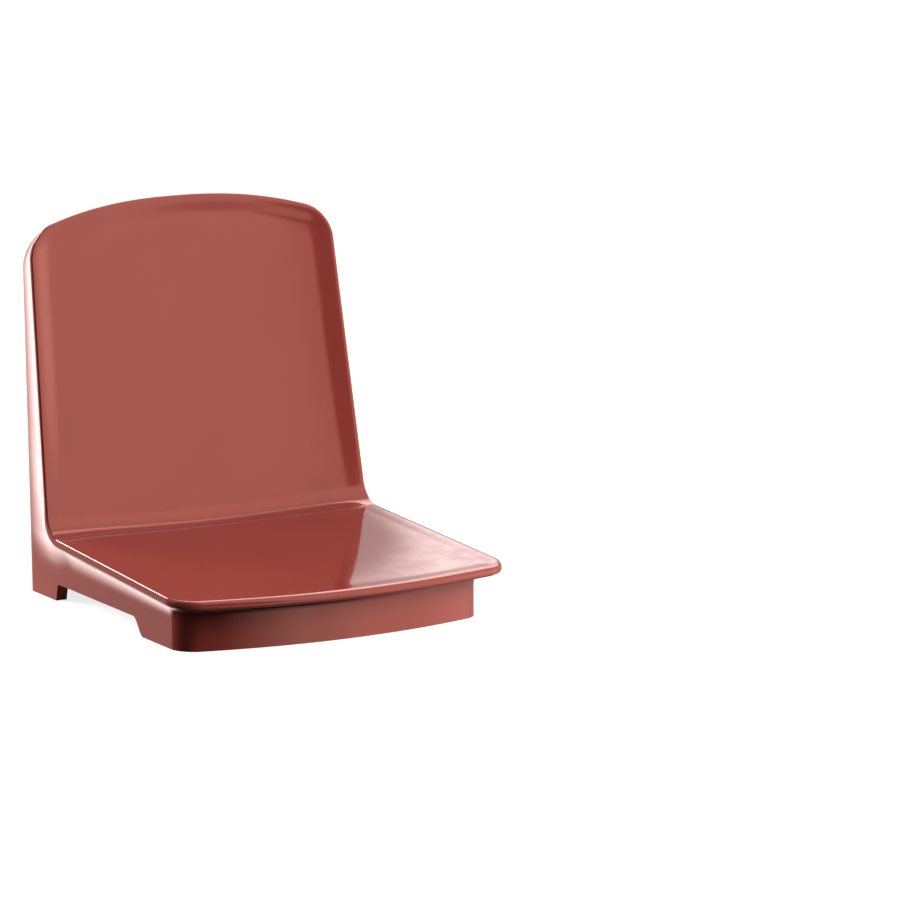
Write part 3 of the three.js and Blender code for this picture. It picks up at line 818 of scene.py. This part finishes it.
# The body
def raisedEdgeTool():
    edge = bodyForm["raisedEdge"]
    radius = bodyForm["footCornerRadius"]
    rear = bodyForm["rearFootLength"]
    step = bodyForm["stepForward"]
    length = bodyForm["stepLength"]
    floor = -bodyForm["overrun"]
    profile = [(rear, floor)]
    rear += bodyForm["footDraft"]
    for angle in spread(0, math.pi / 2, bodyDetail["footSteps"]):
        profile.append((rear + radius * (1 - math.cos(angle)), edge - radius * (1 - math.sin(angle))))
    for share in spread(0, 1, bodyDetail["slopeSteps"]):
        profile.append((step + length * share, edge * (1 - smooth(share))))
    profile.append((step + length, floor))
    bm = bmesh.new()
    verts = [bmesh.ops.create_vert(bm, co=inFrame(-halfFront, forward, height))["vert"][0]
             for forward, height in profile]
    face = bmesh.ops.contextual_create(bm, geom=verts)["faces"]
    side = bmesh.ops.extrude_face_region(bm, geom=face, use_keep_orig=True)["geom"]
    moved = [item for item in side if isinstance(item, bmesh.types.BMVert)]
    bmesh.ops.translate(bm, verts=moved, vec=(2 * halfFront * mm, 0, 0))
    closeForm(bm)
    return pieceFrom(bm, "raisedEdge")


def makeBody():
    wall = bodyForm["wall"]
    gap = bodyForm["fitGap"]
    flange = bodyForm["flangeThickness"]
    overrun = bodyForm["overrun"]
    rounding = bodyForm["rearRounding"]
    columns = spread(-1, 1, bodyDetail["sheetColumns"])
    count = bodyDetail["sheetRows"]
    rows = spread(0, 1, count) + spread(1, 2, bodyDetail["sheetFoldRows"])[1:] + spread(2, 3, count)[1:]

    body = outerForm("bodyMoulding", rounding)
    combine(body, innerForm("hollow", wall, flange), "DIFFERENCE")
    mouth = sheetBlock("mouth", bodyForm["rimInset"] + bodyForm["flangeWidth"], below(0),
                       underLip(gap + flange + overrun), columns, rows)
    combine(body, mouth, "DIFFERENCE")
    print("body hollowed")

    core = innerForm("core", wall / 2, flange / 2)
    feetBoxes = []
    rearEnd = bodyForm["rearFootLength"] + bodyForm["footDraft"] + bodyForm["footCornerRadius"]
    frontEnd = bodyForm["stepForward"] + bodyForm["stepLength"] + bodyForm["frontFootLength"]
    thickness = bodyForm["footThickness"]
    tall = bodyForm["footHeight"]
    for side in (-1, 1):
        for near, start, end in (
            (halfRear - thickness, 0, rearEnd),
            (halfRear - bodyForm["rearFootWidth"], 0, thickness),
            (halfApron - thickness, bodyForm["stepForward"], frontEnd),
        ):
            low, high = sorted((side * near, side * halfFront))
            feetBoxes.append((low, high, start, end, 0, tall))
    feet = boxTool("feet", feetBoxes[:1])
    for box in feetBoxes[1:]:
        combine(feet, boxTool("foot", [box]), "UNION")
    combine(feet, core, "INTERSECT", keepTool=True)
    combine(body, feet, "UNION")

    inset = form["lip"] + gap
    fill = sheetBlock("fill", inset + bodyForm["tongueThickness"], below(form["skin"] + gap),
                      underLip(gap + flange), columns, rows)
    combine(core, fill, "UNION")
    half = bodyForm["ribThickness"] / 2
    slices = [(-halfFront, halfFront, forward - half, forward + half, bodyForm["ribClearance"],
               form["foldHeight"]) for forward in bodyForm["ribForwards"]]
    slices += [(-halfFront, halfFront, -bodyForm["rearLean"] * height, form["foldForward"], height - half,
                height + half) for height in bodyForm["ribHeights"]]
    ribs = boxTool("ribs", slices)
    combine(ribs, core, "INTERSECT")
    combine(body, ribs, "UNION")

    def tongueTop(path):
        return -max(form["skin"], rimDepthAt(path) - bodyForm["tongueHeight"]) - gap

    tongue = sheetBlock("tongue", inset, tongueTop, underLip(gap + overrun), columns, rows)
    inner = sheetBlock("inner", inset + bodyForm["tongueThickness"], below(0), underLip(gap + 2 * overrun),
                       columns, rows)
    combine(tongue, inner, "DIFFERENCE")
    combine(body, tongue, "UNION")
    print("ribs and tongue joined")

    pad = fixings["padThickness"]
    clear = bodyForm["ribClearance"]
    cup = fixings["cupDiameter"]
    guide = fixings["postDiameter"] + 2 * gap
    hole = fixings["padHoleDiameter"]
    edge = bodyForm["raisedEdge"]
    guideEnd = fixings["postGuide"]
    cupWall = fixings["padDiameter"]
    combine(body, cylinderTool("panCups", cupWall, panSpans(0, guideEnd, fromFloor=clear)), "UNION")
    backCups = cylinderTool("backCups", cupWall, backSpans(0, guideEnd, fromWall=overrun), True)
    combine(body, backCups, "UNION")
    bosses = cylinderTool("bosses", fixings["bossDiameter"], insertSpans(0, fixings["bossHeight"]))
    combine(body, bosses, "UNION")

    for name, diameter, spans, level in (
        ("guideBores", guide, panSpans(-gap, 0, toHeight=form["foldHeight"]), False),
        ("padHoles", hole, panSpans(0, 0, fromFloor=clear, toHeight=form["foldHeight"]), False),
        ("driverBores", cup, panSpans(0, -gap - pad, fromFloor=clear - overrun), False),
        ("backGuideBores", guide, backSpans(-gap, 0, toForward=form["foldForward"]), True),
        ("backPadHoles", hole, backSpans(0, 0, fromWall=0, toForward=form["foldForward"]), True),
        ("backDriverBores", cup, backSpans(0, -gap - pad, fromWall=-overrun), True),
        ("insertBores", fixings["insertDiameter"] + 2 * gap,
         insertSpans(-overrun, fixings["insertLength"] + gap), False),
        ("insertSeats", fixings["insertFlangeDiameter"] + 2 * gap,
         insertSpans(-overrun, fixings["insertFlangeThickness"] + gap), False),
    ):
        combine(body, cylinderTool(name, diameter, spans, level), "DIFFERENCE")

    combine(body, raisedEdgeTool(), "DIFFERENCE")
    gapHalf = halfRear - bodyForm["rearFootWidth"]
    combine(body, boxTool("rearGap", [(-gapHalf, gapHalf, -overrun, thickness + overrun, -overrun, edge)]),
            "DIFFERENCE")
    shadeSmooth(body)
    # large flat faces keep their own direction beside the roundings
    weighted = body.modifiers.new("flatFaces", "WEIGHTED_NORMAL")
    weighted.keep_sharp = True
    weighted.weight = bodyDetail["flatWeight"]
    print("body finished")
    return body


# Materials
def nodeMaterial(name):
    material = bpy.data.materials.new(name)
    material.use_nodes = True
    tree = material.node_tree
    shader = tree.nodes["Principled BSDF"]
    coords = tree.nodes.new("ShaderNodeTexCoord")
    return material, tree, shader, coords.outputs["Object"]


def noiseAt(tree, coords, scale, detail, roughness):
    noise = tree.nodes.new("ShaderNodeTexNoise")
    noise.inputs["Scale"].default_value = scale
    noise.inputs["Detail"].default_value = detail
    noise.inputs["Roughness"].default_value = roughness
    tree.links.new(coords, noise.inputs["Vector"])
    return noise.outputs["Fac"]


def rangeOf(tree, value, fromLow, fromHigh, toLow, toHigh):
    node = tree.nodes.new("ShaderNodeMapRange")
    node.inputs["From Min"].default_value = fromLow
    node.inputs["From Max"].default_value = fromHigh
    node.inputs["To Min"].default_value = toLow
    node.inputs["To Max"].default_value = toHigh
    tree.links.new(value, node.inputs["Value"])
    return node.outputs["Result"]


def mixColour(tree, factor, first, second):
    node = tree.nodes.new("ShaderNodeMix")
    node.data_type = "RGBA"
    node.inputs["A"].default_value = (*first, 1)
    node.inputs["B"].default_value = (*second, 1)
    tree.links.new(factor, node.inputs["Factor"])
    return node.outputs["Result"]


# Glossy moulded plastic. Each noise is its scale, detail and roughness
redGloss = {
    "dark": (0.232, 0.036, 0.0275),
    "light": (0.252, 0.041, 0.031),
    "cloud": (9, 3, 0.5),
    "haze": (26, 4, 0.6),
    "hazeSpan": (0.35, 0.75),
    "roughness": 0.05,
    "roughest": 0.11,
    "ripple": (160, 2, 0.5),
    "bump": 0.02,
    "depth": 0.0005,
    "gloss": (1, 0.46, 0.37),
    "density": 2.0,
}
plugGloss = {**redGloss, "roughness": 0.16, "roughest": 0.28, "bump": 0.1}

# Plated or turned metal: cloudy colour, fine grain and small pits
zincFinish = {
    "dark": (0.42, 0.44, 0.47),
    "light": (0.66, 0.67, 0.68),
    "cloud": (120, 4, 0.6),
    "haze": (900, 3, 0.6),
    "hazeSpan": (0.3, 0.7),
    "roughness": 0.26,
    "roughest": 0.48,
    "ripple": (900, 3, 0.6),
    "bump": 0.12,
    "depth": 0.0001,
}
brassFinish = {
    **zincFinish,
    "dark": (0.50, 0.33, 0.12),
    "light": (0.78, 0.58, 0.27),
    "haze": (600, 3, 0.6),
    "roughness": 0.2,
    "roughest": 0.4,
    "ripple": (600, 3, 0.6),
    "bump": 0.08,
}
cloudSpan = (0.3, 0.7)


# Cloudy colour, hazy gloss and a fine ripple, which every finish has
def finishedMaterial(name, finish):
    material, tree, shader, coords = nodeMaterial(name)
    cloud = rangeOf(tree, noiseAt(tree, coords, *finish["cloud"]), *cloudSpan, 0, 1)
    tree.links.new(mixColour(tree, cloud, finish["dark"], finish["light"]), shader.inputs["Base Color"])
    haze = noiseAt(tree, coords, *finish["haze"])
    tree.links.new(rangeOf(tree, haze, *finish["hazeSpan"], finish["roughness"], finish["roughest"]),
                   shader.inputs["Roughness"])
    bump = tree.nodes.new("ShaderNodeBump")
    bump.inputs["Strength"].default_value = finish["bump"]
    bump.inputs["Distance"].default_value = finish["depth"]
    tree.links.new(noiseAt(tree, coords, *finish["ripple"]), bump.inputs["Height"])
    tree.links.new(bump.outputs["Normal"], shader.inputs["Normal"])
    return material, shader


def glossPlastic(name, finish):
    material, shader = finishedMaterial(name, finish)
    shader.inputs["IOR"].default_value = finish["density"]
    shader.inputs["Specular Tint"].default_value = (*finish["gloss"], 1)
    return material


def platedMetal(name, finish):
    material, shader = finishedMaterial(name, finish)
    shader.inputs["Metallic"].default_value = 1
    return material


def dress(piece, material):
    piece.data.materials.clear()
    piece.data.materials.append(material)


shellPlastic = glossPlastic("redShellPlastic", redGloss)
bodyPlastic = glossPlastic("redBodyPlastic", redGloss)
plugPlastic = glossPlastic("redPlugPlastic", plugGloss)
zincSteel = platedMetal("zincPlatedSteel", zincFinish)
turnedBrass = platedMetal("turnedBrass", brassFinish)

seatSheet = makeShell()
print("sheet made", len(seatSheet.data.polygons))
addPosts(seatSheet)
shadeSmooth(seatSheet, shellDetail["sharpAngle"])
dress(seatSheet, shellPlastic)
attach(seatSheet, "root")
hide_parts("seat_shell")
print("posts joined", len(seatSheet.data.polygons))

bodyMoulding = makeBody()
dress(bodyMoulding, bodyPlastic)
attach(bodyMoulding, "root")
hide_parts("body_shell")
print("body", len(bodyMoulding.data.polygons))

# Floor and light. The studio is white all round but for its side at the sitter's right and ahead, where it
# is dark, as the gloss in the photograph shows. On the floor that side is painted shade in the floor's
# colour, which only diffuse bounces see. Angles run from ahead (-Y) to +X, and the dark side is wider below
# the horizon. Gleams are soft spots that only the gloss sees.
studio = {
    "floorSize": 40,
    "floorRoughness": 0.9,
    "floorGrey": 0.62,
    "floorGlow": 0.8,
    "glowGrey": 0.4,
    "apexAhead": 0.2,
    "darkFrom": -96,
    "darkTo": 20,
    "leftEdge": 4,
    "rightEdge": 3,
    "lowDarkFrom": -147,
    "lowDarkTo": 11,
    "lowRightEdge": 18,
    "horizonSpan": (0.02, -0.05),
    "darkLevel": 0.03,
    "frontLevel": 1.15,
    "rearLevel": 0.42,
    "rearSpan": (0.5, -0.5),
    "fillLow": 1.7,
    "fillHigh": 0.5,
    "fillSpan": (0.05, 0.75),
    "aimHeight": 0.25,
    "gleams": [
        {"name": "rimGleam", "angle": -168, "rise": 30, "radius": 16, "level": 16},
        {"name": "lowGleam", "angle": 174, "rise": -25, "radius": 31, "level": 2.3},
        {"name": "panGleam", "angle": 148, "rise": 18.5, "radius": 1.5, "level": 2.3},
        {"name": "panSheen", "angle": 150, "rise": 12, "radius": 22, "level": 0.28},
        {"name": "coveShade", "angle": 28, "rise": -50, "radius": 38, "level": -1.3},
        {"name": "noseGleam", "angle": 135, "rise": 46, "radius": 30, "level": 4},
        {"name": "sideGleam", "angle": 64, "rise": 8, "radius": 26, "level": 1.0},
        {"name": "horizonShade", "angle": 24, "rise": -5, "radius": 8, "level": -0.7},
    ],
    "softBoxes": [
        {"name": "keyBox", "angle": 48, "rise": 28, "away": 3.8, "size": (3.4, 2.0), "power": 200},
        {"name": "rearBox", "angle": -150, "rise": 12, "away": 3.8, "size": (2.4, 1.6), "power": 260},
    ],
}


def mathNode(tree, operation, *values):
    node = tree.nodes.new("ShaderNodeMath")
    node.operation = operation
    for index, value in enumerate(values):
        if isinstance(value, (int, float)):
            node.inputs[index].default_value = value
        else:
            tree.links.new(value, node.inputs[index])
    return node.outputs["Value"]


def wayOf(angle, rise):
    angle = math.radians(angle)
    rise = math.radians(rise)
    return Vector((math.sin(angle) * math.cos(rise), -math.cos(angle) * math.cos(rise), math.sin(rise)))


def mixed(tree, share, first, second):
    return mathNode(tree, "ADD", mathNode(tree, "MULTIPLY", share, second - first), first)


# 1 where a direction or a place on the floor is on the white side of the studio, 0 on its dark side. On the
# floor this mask paints shade into the floor's colour.
def litSideAndPaintedFloorShade(tree, vector, apexAhead, isFloor):
    parts = tree.nodes.new("ShaderNodeSeparateXYZ")
    tree.links.new(vector, parts.inputs["Vector"])
    x, y, z = parts.outputs
    angle = mathNode(tree, "ARCTAN2", x, mathNode(tree, "SUBTRACT", -apexAhead, y))
    low = 1 if isFloor else rangeOf(tree, z, *studio["horizonSpan"], 0, 1)
    sides = []
    for place, lowPlace, edge, lowEdge, sign in (
        ("darkFrom", "lowDarkFrom", "leftEdge", "leftEdge", -1),
        ("darkTo", "lowDarkTo", "rightEdge", "lowRightEdge", 1),
    ):
        border = mixed(tree, low, math.radians(studio[place]), math.radians(studio[lowPlace]))
        width = mixed(tree, low, math.radians(studio[edge]), math.radians(studio[lowEdge]))
        beyond = mathNode(tree, "MULTIPLY", mathNode(tree, "SUBTRACT", angle, border), sign)
        share = mathNode(tree, "ADD", mathNode(tree, "DIVIDE", beyond, width), 0.5)
        share.node.use_clamp = True
        sides.append(share)
    return mathNode(tree, "MAXIMUM", *sides), parts.outputs


def rayKinds(tree):
    path = tree.nodes.new("ShaderNodeLightPath")
    seen = mathNode(tree, "MAXIMUM", path.outputs["Is Camera Ray"], path.outputs["Is Transmission Ray"])
    return seen, path.outputs["Is Glossy Ray"]


def chosen(tree, share, first, second):
    kept = mathNode(tree, "MULTIPLY", first, mathNode(tree, "SUBTRACT", 1, share))
    return mathNode(tree, "ADD", kept, mathNode(tree, "MULTIPLY", second, share))


def makeFloor():
    bm = bmesh.new()
    bmesh.ops.create_grid(bm, x_segments=1, y_segments=1, size=studio["floorSize"] / 2)
    floor = pieceFrom(bm, "studioFloor")
    material, tree, shader, coords = nodeMaterial("paleFloor")
    # painted shade: the floor's colour for bounced light is dark on the studio's dark side and grey
    # elsewhere
    white, _ = litSideAndPaintedFloorShade(tree, coords, studio["apexAhead"], True)
    seen, _ = rayKinds(tree)
    level = chosen(tree, seen, mathNode(tree, "MULTIPLY", white, studio["floorGrey"]), studio["glowGrey"])
    tree.links.new(level, shader.inputs["Base Color"])
    shader.inputs["Emission Color"].default_value = (1, 1, 1, 1)
    glow = mathNode(tree, "MULTIPLY", seen, studio["floorGlow"])
    tree.links.new(glow, shader.inputs["Emission Strength"])
    shader.inputs["Roughness"].default_value = studio["floorRoughness"]
    shader.inputs["Specular IOR Level"].default_value = 0
    dress(floor, material)
    floor.visible_glossy = False


def softBox(box):
    lamp = bpy.data.lights.new(box["name"], "AREA")
    lamp.shape = "RECTANGLE"
    lamp.size, lamp.size_y = box["size"]
    lamp.energy = box["power"]
    holder = bpy.data.objects.new(box["name"], lamp)
    target = Vector((0, 0, studio["aimHeight"]))
    way = wayOf(box["angle"], box["rise"])
    holder.location = target + way * box["away"]
    holder.rotation_euler = (-way).to_track_quat("-Z", "Y").to_euler()
    holder.visible_glossy = False
    bpy.context.scene.collection.objects.link(holder)


def gleamOf(tree, vector, gleam):
    node = tree.nodes.new("ShaderNodeVectorMath")
    node.operation = "DOT_PRODUCT"
    tree.links.new(vector, node.inputs[0])
    node.inputs[1].default_value = wayOf(gleam["angle"], gleam["rise"])
    edge = math.cos(math.radians(gleam["radius"]))
    share = rangeOf(tree, node.outputs["Value"], edge, 1, 0, gleam["level"])
    share.node.interpolation_type = "SMOOTHSTEP"
    return share


def makeWorld():
    world = bpy.data.worlds.new("studioWorld")
    world.use_nodes = True
    bpy.context.scene.world = world
    tree = world.node_tree
    background = tree.nodes["Background"]
    coords = tree.nodes.new("ShaderNodeTexCoord").outputs["Generated"]
    white, (_, y, z) = litSideAndPaintedFloorShade(tree, coords, 0, False)
    seen, glossy = rayKinds(tree)
    fill = rangeOf(tree, z, *studio["fillSpan"], studio["fillLow"], studio["fillHigh"])
    fill = mathNode(tree, "ADD", mathNode(tree, "MULTIPLY", white, fill), studio["darkLevel"])
    mirrored = rangeOf(tree, y, *studio["rearSpan"], studio["rearLevel"], studio["frontLevel"])
    mirrored = mathNode(tree, "MULTIPLY", white, mirrored)
    mirrored = mathNode(tree, "ADD", mirrored, studio["darkLevel"])
    for gleam in studio["gleams"]:
        mirrored = mathNode(tree, "ADD", mirrored, gleamOf(tree, coords, gleam))
    mirrored = mathNode(tree, "MAXIMUM", mirrored, 0)
    strength = chosen(tree, seen, chosen(tree, glossy, fill, mirrored), 1)
    background.inputs["Color"].default_value = (1, 1, 1, 1)
    tree.links.new(strength, background.inputs["Strength"])


# The photograph's view: across, forward and height of both points in millimetres
cameraView = {
    "place": (-3213.2, 6078.6, 1386.9),
    "target": (272.6, 213.3, 158.4),
    "lens": 232.9,
    "roll": -0.13,
    "sensor": 36,
    "farEnd": 100,
}


def makeCamera():
    lens = bpy.data.cameras.new("photoCamera")
    lens.lens = cameraView["lens"]
    lens.sensor_width = cameraView["sensor"]
    lens.clip_end = cameraView["farEnd"]
    camera = bpy.data.objects.new("photoCamera", lens)
    place = inFrame(*cameraView["place"])
    target = inFrame(*cameraView["target"])
    aim = (target - place).to_track_quat("-Z", "Y").to_matrix().to_4x4()
    roll = Matrix.Rotation(math.radians(cameraView["roll"]), 4, "Z")
    camera.matrix_world = Matrix.Translation(place) @ aim @ roll
    bpy.context.scene.collection.objects.link(camera)
    bpy.context.scene.camera = camera


makeFloor()
makeWorld()
for box in studio["softBoxes"]:
    softBox(box)
makeCamera()
bpy.context.scene.view_settings.view_transform = "Standard"

# The screws, inserts and plugs keep their own shape
for name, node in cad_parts.items():
    for kind, finish in (("screw", zincSteel), ("insert", turnedBrass), ("plug", plugPlastic)):
        if kind in name:
            dress(node, finish)
